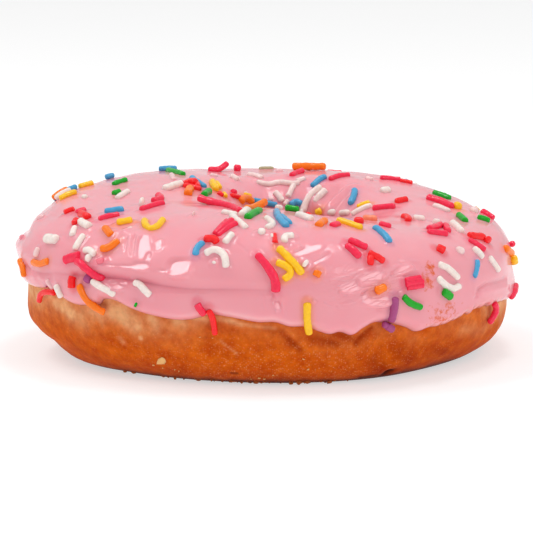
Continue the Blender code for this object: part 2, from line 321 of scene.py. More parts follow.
STRANDS = [
    # the left shoulder and side
    orange(1.1, (-160.3, 11.5), (-157, -1.5)),
    orange(1.1, (-152.9, 13), (-150, 12.8), (-146.6, 17)),
    white(1.1, (-152, 23.8), (-152, 16.8), veil=0.35),
    white(1.55, (-150.7, 30.3), (-146.3, 31.5)),
    white(0.9, (-168, 37), (-166, 41), veil=0.6),
    red(1.1, (-156.9, 48), (-156.5, 52.8)),
    rose(1.0, (-153.3, 51.2), (-153.3, 55.7)),
    red(1.35, (-151.2, 51.7), (-145.3, 49.8)),
    red(1.15, (-146.2, 43.3), (-147.8, 46.7)),
    white(1.3, (-145.9, 46.1), (-140.8, 43.8)),
    white(1.0, (-145, 42), (-143, 36)),
    white(1.1, (-139.6, 37.8), (-139.1, 27.2)),
    white(1.15, (-136.4, 27.8), (-134.8, 28.2), (-132.7, 26)),
    white(1.25, (-134.6, 23.5), (-133.4, 23.2)),
    rose(1.4, (-140.9, 20), (-136.9, 24.6), cut=True),
    rose(1.15, (-137.5, 20.6), (-134, 17.7), (-130.4, 9.6), lift=0.25),
    rose(0.9, (-131.6, 21.9), (-130, 23.6), veil=0.5),
    red(1.25, (-138.5, 8), (-138.3, -1), cut=True),
    purple(1.35, (-133.8, 11), (-134.6, 5.6)),
    white(1.1, (-133.1, 7.2), (-130.3, 3.6), (-126.9, -1.2)),
    orange(1.1, (-136.3, 3), (-135, -4), (-133.2, -9.6), (-130.6, -12.3), lift=0.1),
    white(1.1, (-143.3, -0.6), (-141.8, -6.8)),
    white(0.9, (-146.7, 1), (-145.7, -5), veil=0.6),
    red(0.95, (-144.8, -6.2), (-147.6, -6.6), (-150.2, -9), (-151.8, -13.6), lift=0.25),
    purple(0.4, (-148.4, -3.6), (-148.1, -3.6)),
    orange(1.1, (-179.5, 44.5), (-180, 52), lift=0.5),
    white(1.0, (-176.5, 47), (-178.5, 53.5), lift=0.3),
    yellow(1.05, (-171.8, 50), (-174.5, 56.5), lift=0.15),
    blue(0.9, (-179.8, 50.5), (177, 54), lift=0.35),
    blue(0.9, (163, 58.5), (160.5, 61), lift=0.4),
    yellow(1.0, (176.3, 54.5), (173.5, 59.5), lift=0.15),
    white(0.9, (-167.8, 59), (-167, 61.2)),
    blue(0.7, (-179.5, 44.5), (-179.5, 46), lift=0.35),
    rose(1.1, (-168.5, 22), (-167.5, 23), veil=0.9),
    # the left of the crown
    blue(1.15, (-146, 58), (-143.2, 64.5)),
    rose(1.05, (-141.9, 50.4), (-139.7, 58.4)),
    yellow(1.3, (-135, 49.7), (-132, 54)),
    white(0.9, (-129.3, 48.1), (-129.5, 44.1), veil=0.45),
    yellow(1.15, (-128.9, 55.7), (-126, 50.2), (-123.7, 48.6), (-123.1, 52.4), (-124.4, 58.6)),
    orange(1.25, (-136.3, 45), (-131.9, 39.6)),
    orange(1.15, (-132.1, 30.2), (-130.6, 30.7), (-129.7, 33.6), (-129, 36.9)),
    rose(1.05, (-139, 68.3), (-140.4, 82)),
    rose(1.15, (-146.8, 81.7), (-150.5, 87.5), (-157, 89)),
    white(1.6, (-145.8, 74.4), (-144.4, 75.6), lift=0.15),
    green(1.0, (-179.5, 70.5), (174.5, 74.3)),
    green(1.0, (-165.5, 71.5), (-168, 74.5)),
    white(1.0, (-159.5, 71.5), (-166.5, 78)),
    white(1.3, (-166, 95.5), (-177.5, 106.5)),
    white(0.9, (157, 88), (171, 98), veil=0.5),
    green(1.05, (142.5, 75.5), (154, 95)),
    blue(1.0, (142.7, 70), (137.6, 77), lift=0.25),
    red(1.1, (-178, 107.8), (171, 110), (176, 114), (-174, 116)),
    red(1.0, (-174.4, 107.3), (-170, 118.4)),
    red(1.3, (-178.5, 110.5), (175.5, 113.5), lift=0.3),
    blue(1.0, (160.5, 105.5), (-180, 120)),
    orange(1.4, (-169, 112), (-156, 108.5)),
    green(1.2, (-172, 123.3), (-156.5, 118.5)),
    blue(1.05, (-107.9, 40.8), (-109, 36.5), (-108.9, 31.6)),
    white(1.1, (-118.4, 68.3), (-117.8, 68.3), veil=0.4),
    white(1.1, (-122.9, 9.8), (-120.8, 7.7), (-118.4, 1.2)),
    green(0.75, (-122.2, -5), (-121.7, -5.6), cut=True),
    # round the hole
    rose(1.0, (120.5, 79), (115.5, 80), (111, 79.5), lift=0.1, rise=1.6),
    rose(1.2, (107.5, 78), (104.3, 78), lift=0.3),
    green(0.95, (96.2, 74), (90, 74), veil=0.5, lift=-0.1),
    rose(1.0, (78.6, 111), (74.5, 92), rise=0.4),
    white(1.0, (104.6, 120.4), (95, 123), (86.5, 120.8), (75.5, 122.6), (69.5, 122), veil=0.2),
    white(1.0, (72.5, 120.5), (67.5, 116), veil=0.2),
    white(1.05, (106.2, 103.3), (98.6, 115), veil=0.3),
    white(1.15, (123.5, 113), (121.5, 119), veil=0.25),
    white(0.9, (141, 108), (137, 112), veil=0.5),
    yellow(1.2, (157, 118.7), (177.8, 126.4)),
    yellow(1.0, (156.7, 121.3), (167.8, 126.7)),
    red(0.9, (-179, 127.6), (-176.5, 131.2)),
    yellow(0.9, (173.5, 130.2), (-180, 133)),
    red(0.85, (164.4, 134), (145.3, 137)),
    rose(1.0, (154, 131.3), (147, 133)),
    rose(0.95, (-104.3, 83), (-113, 95.5), (-124, 101), (-135, 101), lift=0.15, rise=0.8, taper=1.3),
    white(0.8, (126, 131), (120, 134.5), veil=0.5),
    white(1.0, (-110.2, 77), (-103.8, 72.5)),
    white(1.1, (-105, 70.5), (-101.6, 62), (-98.2, 54)),
    white(1.3, (-101.2, 88), (-101.8, 71), lift=0.1),
    orange(1.3, (153, 139.5), (142, 137.5), (131, 136.7), (120, 138.5)),
    yellow(0.8, (133, 134.5), (121, 134.5), lift=0.3),
    orange(1.2, (-102, 82), (-95.2, 104), lift=0.35, rise=0.8),
    green(1.25, (-99.3, 66), (-96.5, 86), lift=0.1),
    blue(0.95, (117, 136.5), (103, 138.5), (87, 139.3)),
    white(1.05, (-92.9, 69.6), (-90.8, 60.5), (-92.3, 54.6)),
    blue(1.15, (-89.4, 88), (-88.8, 72), (-86.6, 57)),
    blue(0.95, (-87.6, 76), (-85.4, 61)),
    white(1.25, (-94.7, 50.7), (-92.6, 50.3)),
    red(0.5, (-90.1, 50.5), (-90, 43), taper=1.9),
    white(0.5, (-90.9, 49.8), (-90.7, 47)),
    white(1.15, (-87.7, 43.5), (-87.3, 47.8), (-85, 48.9)),
    rose(0.95, (-106.0, 46.8), (-105.2, 54), (-104.6, 61), taper=1.2),
    rose(0.95, (-105.2, 45.8), (-103.6, 52.5), (-101.6, 59), taper=1.2),
    rose(0.9, (-105.8, 46.4), (-104.4, 53.2), (-103.1, 61.0), lift=0.35, taper=1.2),
    red(1.3, (-108.2, 43), (-105.8, 43), (-104.4, 40.8)),
    white(1.1, (-101.4, 48.4), (-102.8, 41)),
    white(1.15, (-106.8, 33), (-104.8, 36.3), (-102.3, 33.5), (-101.3, 26)),
    white(0.6, (-104.2, 29.4), (-104.4, 27.6)),
    green(1.05, (-85, 101.5), (-77.8, 101), lift=0.3),
    white(0.9, (-89.5, 108), (-86, 112), lift=0.2),
    white(0.8, (-77.2, 102), (-76.2, 100)),
    blue(1.1, (72.6, 139.5), (67.3, 137.3), (61, 138.5)),
    blue(0.8, (72.5, 140.7), (67, 140.7)),
    white(1.1, (89.5, 129.6), (81.1, 137), veil=0.15),
    white(1.0, (73.5, 123.5), (76.3, 134), veil=0.15),
    white(0.9, (75.5, 136), (79, 139.5), veil=0.3),
    white(0.8, (97, 135), (91, 135), veil=0.5),
    white(0.8, (89, 86), (85.5, 86), veil=0.6),
    # the middle of the front
    rose(1.15, (-94.4, 35), (-91.8, 28), (-90, 19.5), (-89.9, 11.3), lift=0.1, taper=1.25),
    yellow(1.2, (-89.3, 39.8), (-86.5, 33), (-83.5, 24.5)),
    yellow(1.15, (-89.8, 31), (-87.4, 28.7), (-86.5, 24.5), (-88.2, 20.3)),
    white(1.25, (-83.4, 31.3), (-82.5, 29.8), lift=0.35),
    orange(1.25, (-79.9, 26.6), (-80.6, 23.2), cut=True),
    rose(1.15, (-107.8, -1.5), (-106.6, -6.5), cut=True),
    red(0.95, (-105.2, -4), (-104.4, -11), (-104.2, -19)),
    yellow(1.15, (-82.7, 5), (-82.6, -7), (-82, -16.5)),
    orange(1.3, (-66.7, 13.9), (-63.9, 17.2)),
    purple(1.25, (-61.7, 9.5), (-62.1, -8)),
    purple(1.1, (-64, -11), (-62.6, -11.5)),
    purple(1.2, (-63, -11.5), (-60.8, -15)),
    # the right of the crown
    orange(1.3, (82, 78.5), (77, 76.5), (67, 76), lift=0.55),
    blue(1.1, (57.9, 125.3), (56.3, 118), (54.5, 111.5)),
    rose(1.0, (49.7, 115.5), (46, 96)),
    white(0.9, (40, 88), (36, 88), veil=0.5),
    rose(1.0, (38, 79), (36.5, 74), (34, 69)),
    red(0.9, (33, 71), (30, 66)),
    white(1.3, (15.5, 105), (17, 96)),
    blue(1.15, (27, 117.5), (14.5, 129)),
    yellow(1.0, (5, 127), (4, 118)),
    white(1.0, (0, 132), (-1, 117.5)),
    rose(1.15, (-6, 117.5), (-7.5, 100)),
    red(1.15, (-0.5, 100), (3.5, 89.5)),
    white(1.2, (50.5, 124), (56.5, 134.5), (58.5, 143), veil=0.12),
    white(1.25, (45, 126), (48.7, 137), veil=0.12),
    yellow(1.3, (44, 143.2), (38.7, 140)),
    white(1.0, (31, 140.5), (24, 138)),
    white(1.0, (17, 137), (6, 133)),
    red(1.3, (-60, 76.5), (-56.6, 75)),
    orange(1.3, (-47, 94), (-42.5, 87), veil=0.3),
    yellow(1.15, (-67.2, 74.5), (-63, 60.5)),
    rose(1.1, (-72.6, 61.5), (-69, 66.5)),
    orange(1.3, (-77.2, 59.5), (-72.8, 70.5)),
    white(1.25, (-81.2, 81), (-77.3, 70)),
    blue(1.15, (-57.9, 62.5), (-58.8, 46.3)),
    rose(1.05, (-52.3, 70.5), (-50.8, 64.5)),
    rose(1.2, (-70.5, 47.5), (-66.2, 42)),
    rose(1.25, (-71.7, 43.8), (-69.2, 35.4)),
    red(1.1, (-66.5, 39), (-63, 33.3)),
    red(1.1, (-66.3, 37), (-67, 30.7)),
    # the right side
    green(1.1, (17.7, 66.6), (11.2, 61.9)),
    rose(1.3, (7.8, 76.7), (3, 70.5), (-1.6, 66)),
    white(1.0, (-2.5, 76), (-6.5, 67.5), veil=0.2),
    yellow(1.5, (1.5, 64), (-1, 62)),
    green(1.1, (-8.3, 62.8), (-14.5, 57.3)),
    green(1.1, (-6.8, 53.2), (-6.3, 46.5)),
    rose(1.1, (4, 49), (1, 43)),
    white(0.9, (6, 52), (4.5, 50.5), veil=0.5),
    white(1.2, (2, 55), (-0.2, 53), veil=0.3),
    white(1.2, (-21.5, 61.5), (-28, 51)),
    rose(1.15, (-38.2, 59), (-28, 62.5)),
    rose(1.15, (-41.1, 55.5), (-35.5, 51)),
    rose(1.15, (-32.8, 53.8), (-27, 61.1)),
    white(1.2, (-26.4, 68), (-24.5, 66), veil=0.1),
    red(1.25, (-28, 46.8), (-22.6, 42)),
    red(1.5, (-23, 41.3), (-23.4, 38.2)),
    red(1.15, (-27.2, 85), (-29.5, 80), (-33.5, 76.5)),
    white(1.2, (-27.9, 78.6), (-25.4, 73.5), veil=0.15),
    rose(1.0, (-30.5, 43.8), (-28, 34.6)),
    white(1.1, (-32.2, 38), (-30.9, 30.3)),
    white(1.2, (-38.8, 38.9), (-36.8, 36.9), veil=0.3),
    red(1.35, (-45.2, 41.3), (-43.8, 38.3), cut=True),
    white(1.1, (-48, 30.3), (-45.4, 27), (-42.6, 19.6)),
    white(1.1, (-42.4, 14.5), (-44.8, 13), (-47.3, 16.3), (-49.3, 22)),
    green(1.3, (-48.3, 11.8), (-45.6, 5.8)),
    blue(0.9, (-33.6, 30), (-35, 24.5), (-36.7, 19)),
    white(1.0, (-28, 30.2), (-25, 19.2)),
    orange(1.2, (-15.8, 31.2), (-10.5, 24.8)),
    yellow(1.4, (-10.5, 22.5), (-8.8, 17), lift=0.2),
    rose(1.0, (-7, 28), (-6, 30), lift=0.3),
    rose(1.0, (-9.5, -1), (-16, -6.5)),
    green(1.05, (-59.5, 10), (-57.4, 3.8), (-54.4, -0.8)),
    rose(0.95, (-58.7, 20.9), (-54.3, 22.3), cut=True),
    rose(0.95, (-58.7, 18.5), (-53.9, 20.0), lift=0.12, cut=True),
    rose(0.95, (-58.4, 16.0), (-53.9, 17.4), cut=True),
    rose(1.0, (-26.3, -6.5), (-24.9, -12.2), (-25.4, -16.8), (-26.8, -20.4)),
]

# The strands of the side turned away: how many, how often each colour and each length in mm comes, and how
# far apart their middles are at least.
COLOUR_SHARES = [0.33, 0.14, 0.17, 0.10, 0.09, 0.07, 0.08, 0.02]
FAR_STRANDS = 130
FAR_TRIES = 4000
FAR_SPACING = 2.4
LENGTHS = [1.2, 2.5, 3.5, 4.5, 6.0]
LENGTH_SHARES = [0.1, 0.25, 0.3, 0.25, 0.1]

# The colour of the icing beside a strand where its dye ran out, and how strongly it ran.
DYE_RUN = {
    "white": ("#F3A6B2", 0.0),
    "red": ("#EA5462", 0.5),
    "rose": ("#EC6680", 0.45),
    "orange": ("#F28A62", 0.35),
    "yellow": ("#F58A50", 0.55),
    "green": ("#D08088", 0.25),
    "blue": ("#C88CB0", 0.35),
    "purple": ("#C06488", 0.5),
}

# ---- The view and the light -----------------------------------------------------------------------

FRONT = -95.0  # the bearing near the middle of the side that the camera sees, where the meshes are finest
CAMERA_DISTANCE = 450.0
CAMERA_ELEVATION = 10.0
AIM_FROM_CENTRE = (-0.45, -0.83, -0.8)  # mm from the middle of the solids' box to what the camera looks at
LENS = 152.0
SENSOR = 36.0

# Places in the room that no softbox covers: low on the left, and between the two upper lights.
DARK_PLACES = {"dark": (-0.56, 0.1, 0.62), "gap": (-0.15, 0.03, 0.88)}

# Softboxes: where each stands from the doughnut's base, its width and height in metres, its turn in
# degrees and its power.
SOFTBOXES = {
    "key": ((-0.44, 0.05, 0.78), 0.50, 0.14, -21, 1.9),
    "overhead": ((0.15, 0.03, 0.89), 0.25, 0.2, 0, 1.5),
    "right": ((0.52, -0.54, 0.44), 0.22, 0.22, 0, 0.8),
}


# ---- Small tools ----------------------------------------------------------------------------------


def size_at(size, bearing):
    """A size at these bearings."""
    mean, waves = size
    return mean + sum(
        height * np.cos(np.radians(count * (bearing - crest))) for count, height, crest in waves
    )


def turned(angle):
    """An angle between -180 and 180 degrees."""
    return (angle + 180) % 360 - 180


def bell(distance, reach):
    """1 at no distance, falling smoothly to nothing past the reach."""
    return np.exp(-((distance / reach) ** 2))


def patch(bearing, along, place):
    """1 in the middle of a patch, fading past its edge: (bearing, along, reach round, reach along)."""
    middle_bearing, middle_along, reach, reach_along = place
    return bell(turned(bearing - middle_bearing), reach) * bell(turned(along - middle_along), reach_along)


def eased(part):
    """Turns a straight rise from 0 to 1 into one that starts and ends level."""
    return part * part * (3 - 2 * part)


def through(turning_points, bearing):
    """A smooth curve round the ring through (bearing, value) points in order of bearing."""
    places = np.array([point[0] for point in turning_points], float)
    values = np.array([point[1] for point in turning_points], float)
    places = np.concatenate([places[-2:] - 360, places, places[:2] + 360])
    values = np.concatenate([values[-2:], values, values[:2]])
    slopes = np.zeros_like(values)
    slopes[1:-1] = (values[2:] - values[:-2]) / (places[2:] - places[:-2])
    at = np.where(bearing < places[1], bearing + 360, bearing)
    left = np.clip(np.searchsorted(places, at, side="right") - 1, 0, len(places) - 2)
    span = places[left + 1] - places[left]
    part = (at - places[left]) / span
    rise = eased(part)
    start_turn = (part**3 - 2 * part**2 + part) * span * slopes[left]
    end_turn = (part**3 - part**2) * span * slopes[left + 1]
    return values[left] * (1 - rise) + values[left + 1] * rise + start_turn + end_turn


def lattice(corner, seed):
    """A repeatable random number from -1 to 1 for each whole-numbered corner."""
    x, y, z = (corner[..., axis] for axis in range(3))
    mixed = x * 73856093 ^ y * 19349663 ^ z * 83492791 ^ (seed * 40503 + 977)
    mixed = (mixed ^ (mixed >> 13)) * 1274126177
    mixed = mixed ^ (mixed >> 16)
    return (mixed & 0xFFFF) / 32767.5 - 1


def lumps(points, size, seed):
    """Smooth unevenness from about -1 to 1 whose lumps have this size. Each seed gives its own lumps."""
    place = np.asarray(points) / size
    corner = np.floor(place).astype(np.int64)
    part = place - corner
    fade = part**3 * (part * (part * 6 - 15) + 10)
    total = 0.0
    for step in itertools.product((0, 1), repeat=3):
        offset = np.array(step)
        weight = np.prod(np.where(offset, fade, 1 - fade), axis=-1)
        slope = np.stack([lattice(corner + offset, seed * 3 + axis) for axis in range(3)], axis=-1)
        total = total + weight * ((part - offset) * slope).sum(axis=-1)
    return total * 1.6


def spread_stations(start, end, count, closeness):
    """Stations from start to end, closer together where closeness is greater."""
    fine = np.linspace(start, end, 2000)
    done = np.concatenate([[0], np.cumsum((closeness(fine[1:]) + closeness(fine[:-1])) / 2)])
    return np.interp(np.linspace(0, done[-1], count), done, fine)


# ---- The skins ------------------------------------------------------------------------------------


def half_oval(bearing, upper):
    """Half height and fullness of the section's half that lies over or under the waist."""
    waist = size_at(WAIST_HEIGHT, bearing)
    over = size_at(CREST_HEIGHT, bearing) - waist
    under = waist * (1 + BASE_CUT)
    return np.where(upper, over, under), np.where(upper, TOP_FULLNESS, size_at(BASE_FULLNESS, bearing))


def ring_skin(bearing, along, out=0.0):
    """Points on the ring's skin, or on one that lies that far outside it."""
    outer = size_at(OUTER_RADIUS, bearing)
    hole = size_at(HOLE_RADIUS, bearing)
    crest = hole + CREST_PLACE * (outer - hole)
    across, up = np.cos(np.radians(along)), np.sin(np.radians(along))
    half_height, fullness = half_oval(bearing, up > 0)
    half_width = np.where(across > 0, outer - crest, crest - hole)
    reach = (np.abs(across) ** fullness + np.abs(up) ** fullness) ** (-1 / fullness)
    across, up = across * reach, up * reach
    facing_out = np.sign(across) * np.abs(across) ** (fullness - 1) / half_width
    facing_up = np.sign(up) * np.abs(up) ** (fullness - 1) / half_height
    steep = np.hypot(facing_out, facing_up)
    radius = crest + half_width * across + out * facing_out / steep
    height = size_at(WAIST_HEIGHT, bearing) + half_height * up + out * facing_up / steep
    x = radius * np.cos(np.radians(bearing)) + ring_place[0]
    y = radius * np.sin(np.radians(bearing)) + ring_place[1]
    return np.stack([x, y, np.maximum(height, 0.0)], axis=-1)


ring_place = np.zeros(2)


def find_ring_place():
    """Where the ring's own middle lies, from the box of the dough's solid."""
    outline = ring_skin(np.arange(0, 360, 0.5), 0.0)[:, :2]
    low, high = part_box("dough")
    box_middle = np.array((low + high) / 2)[:2] / MM
    return box_middle - (outline.min(axis=0) + outline.max(axis=0)) / 2


def along_at_height(bearing, height, side):
    """Where along the section the skin is that high: side is 1 on the outside and -1 in the hole."""
    rise = height - size_at(WAIST_HEIGHT, bearing)
    half_height, fullness = half_oval(bearing, rise > 0)
    up = rise / half_height
    across = (1 - np.abs(up) ** fullness) ** (1 / fullness)
    return np.degrees(np.arctan2(up, side * across))


def icing_edges(bearing):
    """Where along the section the icing starts on the outside and ends in the hole."""
    edge = np.stack([np.asarray(bearing) * ROUND_MM, 0 * bearing, 0 * bearing], axis=-1)
    ragged = 0.05 + 0.95 * bell(turned(bearing + 33), 15)  # most so at the right, where the icing is thin
    jags = ragged * (0.5 * lumps(edge, 1.3, 51) + 0.3 * lumps(edge, 0.6, 52))
    outer = along_at_height(bearing, through(LIP_HEIGHTS, bearing) + jags, 1)
    inner = along_at_height(bearing, size_at(INNER_EDGE_HEIGHT, bearing), -1)
    return outer, inner


def swelling(bearing, along):
    """The whole ring's unevenness, which the icing follows."""
    return sum(height * patch(bearing, along, place) for *place, height in SWELLINGS)


def beside_line(bearing, along, line):
    """1 on the line between two (bearing, along) places, falling off past its half width in mm."""
    (b1, a1), (b2, a2), half_width = line[:3]
    x, y = turned(bearing - b1) * ROUND_MM, (along - a1) * ALONG_MM
    dx, dy = (b2 - b1) * ROUND_MM, (a2 - a1) * ALONG_MM
    part = np.clip((x * dx + y * dy) / (dx**2 + dy**2), 0, 1)
    return bell(np.hypot(x - part * dx, y - part * dy), half_width), part


def furrows(bearing, along):
    """Depth of the furrows in the dough's side."""
    depth = 0.0
    for furrow in FURROWS:
        close, part = beside_line(bearing, along, furrow)
        depth = depth + furrow[3] * close * np.sin(np.pi * (0.1 + 0.8 * part))
    return depth


def marks(bearing, along, lines):
    """How strongly the marks show at these places."""
    shown = np.zeros(bearing.shape)
    for line in lines:
        close, _ = beside_line(bearing, along, line)
        shown = np.maximum(shown, close * line[3])
    return shown


def dough_out(bearing, along):
    """How far the dough's skin lies outside the plain ring."""
    plain = ring_skin(bearing, along)
    uneven = 0.25 * lumps(plain, 9.0, 11) + 0.10 * lumps(plain, 3.5, 12) + 0.03 * lumps(plain, 1.2, 13)
    grounded = np.clip(plain[..., 2] / 2.0, 0, 1)
    return swelling(bearing, along) + (uneven - furrows(bearing, along)) * grounded


def crease(bearing, along):
    """The overhanging roll of the upper coat and the crease below it."""
    place = through([(b, a) for b, a, _ in CREASE], bearing)
    depth = np.maximum(through([(b, d) for b, _, d in CREASE], bearing), 0)
    above = along - place
    dip = 0.5 * bell(above, 4.0) + 0.5 * np.exp(-np.abs(above) / 1.3)
    ridge = through([(b, a) for b, a, _ in ROLL], bearing)
    height = np.maximum(through([(b, h) for b, _, h in ROLL], bearing), 0)
    over = along - ridge
    coat = np.clip(1 - over / ROLL_SLOPE, 0, 1)
    roll = np.where(over < 0, bell(over, 4.5), eased(coat))
    return height * roll - depth * dip


def section_normal(bearing, along):
    """The plain ring's normal within its section."""
    step = 0.1
    return (ring_skin(bearing, along, step) - ring_skin(bearing, along)) / step


def plane_facing(spot, light):
    """The direction that a flat place at the spot faces when it reflects the light to the camera."""
    stand = np.array(DARK_PLACES[light] if light in DARK_PLACES else SOFTBOXES[light][0]) / MM
    to_light = stand - spot
    to_eye = eye_place() - spot
    both = to_light / np.linalg.norm(to_light) + to_eye / np.linalg.norm(to_eye)
    return both / np.linalg.norm(both)


def towards_camera():
    """The direction from the doughnut to the camera."""
    rise = math.radians(CAMERA_ELEVATION)
    return np.array([0, -math.cos(rise), math.sin(rise)])


def eye_place():
    """Where the camera stands."""
    centre = np.array((cad_low + cad_high) / 2) / MM
    return centre + np.array(AIM_FROM_CENTRE) + towards_camera() * CAMERA_DISTANCE


def facets(bearing, along, body):
    """Adds the flat places to the body, the icing's height over the ring's skin."""
    change = np.zeros_like(body)
    for b, a, half_width, half_height, turn, soft, light in FACETS:
        u, v = turned(bearing - b) * ROUND_MM, (along - a) * ALONG_MM
        swing = math.radians(turn)
        widthwise = u * math.cos(swing) + v * math.sin(swing)
        heightwise = v * math.cos(swing) - u * math.sin(swing)
        reach = (np.abs(widthwise / half_width) ** 3 + np.abs(heightwise / half_height) ** 3) ** (1 / 3)
        near = reach < 1 + soft
        if not near.any():
            continue
        nearest = np.argmin(np.where(near, np.hypot(u, v), np.inf))
        points = ring_skin(bearing[near], along[near], body[near])
        centre = ring_skin(np.array([b]), np.array([a]), np.array([body.ravel()[nearest]]))[0]
        facing_way = plane_facing(centre, light)
        out_way = section_normal(bearing[near], along[near])
        gap = ((centre - points) @ facing_way) / (out_way @ facing_way)
        blend = eased(np.clip((1 + soft - reach[near]) / (soft + 0.15), 0, 1))
        change[near] = change[near] * (1 - blend) + np.clip(gap, -0.8, 0.8) * blend
    return change


def wrinkles(bearing, along):
    """Height of the thin wrinkles."""
    height = np.zeros_like(bearing)
    for wrinkle in WRINKLES:
        close, _ = beside_line(bearing, along, wrinkle)
        taller = np.abs(height) < np.abs(wrinkle[3] * close)
        height = np.where(taller, wrinkle[3] * close, height)
    return height


def creased(bearing, along):
    """The creased skin of the right front: its folds' own coordinates in mm, and how creased it is."""
    u, v = bearing * ROUND_MM, along * ALONG_MM
    slant = math.radians(FOLD_SLANT)
    lengthwise = u * math.cos(slant) + v * math.sin(slant)
    across = v * math.cos(slant) - u * math.sin(slant)
    return lengthwise, across, patch(bearing, along, CREASED_PATCH)


def crinkles(bearing, along):
    """Height of the folds in the creased skin, where the icing set while it still slid."""
    lengthwise, across, where = creased(bearing, along)
    run = np.stack([lengthwise / 4.5, across / 1.1, lengthwise * 0], axis=-1)
    folds = lumps(run, 1.0, 31)
    sharp = 1 - 2 * np.abs(lumps(run * 0.7, 1.0, 32))
    return where * (0.03 * folds + 0.05 * sharp)


def icing_out(bearing, along, fine=True):
    """How far outside the plain ring the icing's outer skin lies."""
    outer_edge, inner_edge = icing_edges(bearing)
    from_edge = np.clip(np.minimum(along - outer_edge, inner_edge - along) / LIP, 0, 1)
    lip = (1 - (1 - from_edge) ** 2) ** 0.72
    plain = ring_skin(bearing, along)
    waves = 0.22 * lumps(plain, 11.0, 1) + 0.10 * lumps(plain, 5.0, 2)
    body = ICING_THICKNESS + waves + crease(bearing, along)
    out = swelling(bearing, along) + np.maximum(body, 0.5) * lip
    if fine:
        bearing, along = np.broadcast_arrays(bearing, along)
        out = out + facets(bearing, along, out) * lip
        fine_folds = wrinkles(bearing, along) + crinkles(bearing, along)
        out = out + (fine_folds + 0.015 * lumps(plain, 2.2, 3)) * lip
    return out


def facing(skin, bearing, along):
    """Outward normals of a skin, a function of bearing and along, by small steps on it."""
    step = 0.2
    round_way = skin(bearing + step, along) - skin(bearing - step, along)
    along_way = skin(bearing, along + step) - skin(bearing, along - step)
    normal = np.cross(round_way, along_way)
    return normal / np.linalg.norm(normal, axis=-1, keepdims=True)


def icing_bed(bearing, along):
    """The icing's outer skin without its fine creases, on which the strands lie."""
    outer_edge, _ = icing_edges(bearing)
    on_icing = ring_skin(bearing, along, icing_out(bearing, along, fine=False))
    past_lip = ring_skin(bearing, along, swelling(bearing, along) + 0.9 * bell(outer_edge - along, 12))
    blend = np.clip((along - outer_edge) / 4.0, 0, 1)[..., None]
    return on_icing * blend + past_lip * (1 - blend)


# ---- Making meshes --------------------------------------------------------------------------------


def mesh_piece(name, points, faces, material):
    """An object of smooth-shaded faces from points in mm, riding on the doughnut."""
    mesh = bpy.data.meshes.new(name)
    mesh.from_pydata((np.asarray(points) * MM).tolist(), [], faces)
    mesh.materials.append(material)
    mesh.shade_smooth()
    piece = bpy.data.objects.new(name, mesh)
    bpy.context.scene.collection.objects.link(piece)
    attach(piece, "root")
    return piece


def add_values(piece, name, values):
    """Gives each point of a piece a number, or a colour with alpha, that its material reads."""
    values = np.asarray(values, np.float32)
    kind, field = ("FLOAT_COLOR", "color") if values.ndim > 1 else ("FLOAT", "value")
    attribute = piece.data.attributes.new(name, kind, "POINT")
    attribute.data.foreach_set(field, values.ravel())


def ring_faces(turns, steps):
    """Four-sided faces of a grid closed both round the ring and round its section."""
    i, j = np.meshgrid(np.arange(turns), np.arange(steps), indexing="ij")
    i_next, j_next = (i + 1) % turns, (j + 1) % steps
    corners = [i * steps + j, i_next * steps + j, i_next * steps + j_next, i * steps + j_next]
    return np.stack(corners, axis=-1).reshape(-1, 4).tolist()


# ---- The strands' shape ---------------------------------------------------------------------------

ROUTE_STEPS = 24
SIDES = 14
RING_SPACING = 0.35
PROUD = 0.45  # height of a strand's middle over the icing, as a share of its radius
VEIL_SINKS = 0.5  # how much lower it lies, in the same share, under a full film of icing
ROUND_END = (0.7, 2.4)  # length of an end as a share of the radius, and how square it is
CUT_END = (0.3, 3.5)
END_STEPS = np.array([0.0, 0.04, 0.15, 0.35, 0.65])  # where the rings of an end lie, as shares of its length
SMALLEST_END = 0.06


def smooth_route(route, steps):
    """Evenly timed places on a smooth curve through two to four (bearing, along) places."""
    places = np.array(route, float)
    places[:, 0] = places[0, 0] + turned(places[:, 0] - places[0, 0])
    ends = np.vstack([2 * places[0] - places[1], places, 2 * places[-1] - places[-2]])
    time = np.linspace(0, len(places) - 1, steps)
    left = np.minimum(time.astype(int), len(places) - 2)
    part = (time - left)[:, None]
    a, b, c, d = (ends[left + k] for k in range(4))
    return b + 0.5 * part * (c - a + part * (2 * a - 5 * b + 4 * c - d + part * (3 * (b - c) + d - a)))


def stiffened(line, bends):
    """The line without the bed's small steps, which a stiff strand bridges."""
    time = np.linspace(-1, 1, len(line))
    fit = np.polynomial.chebyshev.chebfit(time, line, bends + 1)
    return np.polynomial.chebyshev.chebval(time, fit).T


def lay(items):
    """Gives each strand its line along the bed, and the bed's normals there."""
    routes = np.array([smooth_route(item["route"], ROUTE_STEPS) for item in items])
    bearing, along = turned(routes[..., 0]), routes[..., 1]
    lines, normals = icing_bed(bearing, along), facing(icing_bed, bearing, along)
    for item, line, normal in zip(items, lines, normals):
        item["line"], item["normals"] = stiffened(line, len(item["route"])), stiffened(normal, 2)


def line_length(line):
    """Distance run along a line at each of its points."""
    return np.concatenate([[0], np.cumsum(np.linalg.norm(np.diff(line, axis=0), axis=1))])


def tube_faces(rings, sides):
    """Faces of a tube of so many rings of points, with both its ends closed."""
    faces = []
    for i, j in itertools.product(range(rings - 1), range(sides)):
        j_next = (j + 1) % sides
        faces.append((i * sides + j, (i + 1) * sides + j, (i + 1) * sides + j_next, i * sides + j_next))
    faces.append(tuple(range(sides)))
    faces.append(tuple(range((rings - 1) * sides, rings * sides))[::-1])
    return faces


def joined(parts):
    """One set of points and faces from those of many parts."""
    points, faces, count = [], [], 0
    for part, part_faces in parts:
        points.append(part)
        faces += [tuple(count + corner for corner in face) for face in part_faces]
        count += len(part)
    return np.concatenate(points), faces


